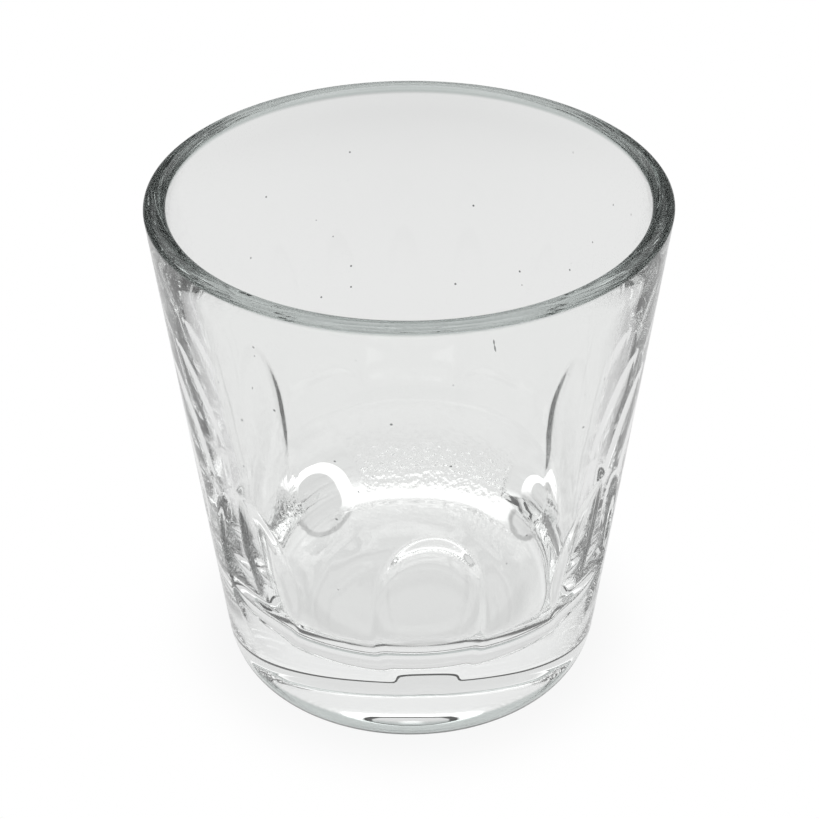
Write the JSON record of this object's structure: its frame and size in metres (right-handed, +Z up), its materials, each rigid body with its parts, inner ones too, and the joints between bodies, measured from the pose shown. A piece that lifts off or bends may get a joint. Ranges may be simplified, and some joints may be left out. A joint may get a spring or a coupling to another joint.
{
  "type": "drinking glass",
  "caption": "Small clear pressed-glass tumbler for short milk coffees, with straight tapering sides, a heavy base, a softly rounded lip and seven oval finger prints low on the wall.",
  "frame": {"origin": "middle of the ring that the glass stands on, at table level", "axes": "+Z up along the axis of the glass, -Y towards the picture's viewer, +X to the viewer's right"},
  "size_m": [0.0722, 0.0722, 0.075],
  "materials": {
    "clear_glass": "clear soda-lime glass, fire-polished lip, faint chill marks inside"
  },
  "bodies": {
    "root": {"tumbler": "clear_glass"}
  },
  "joints": []
}
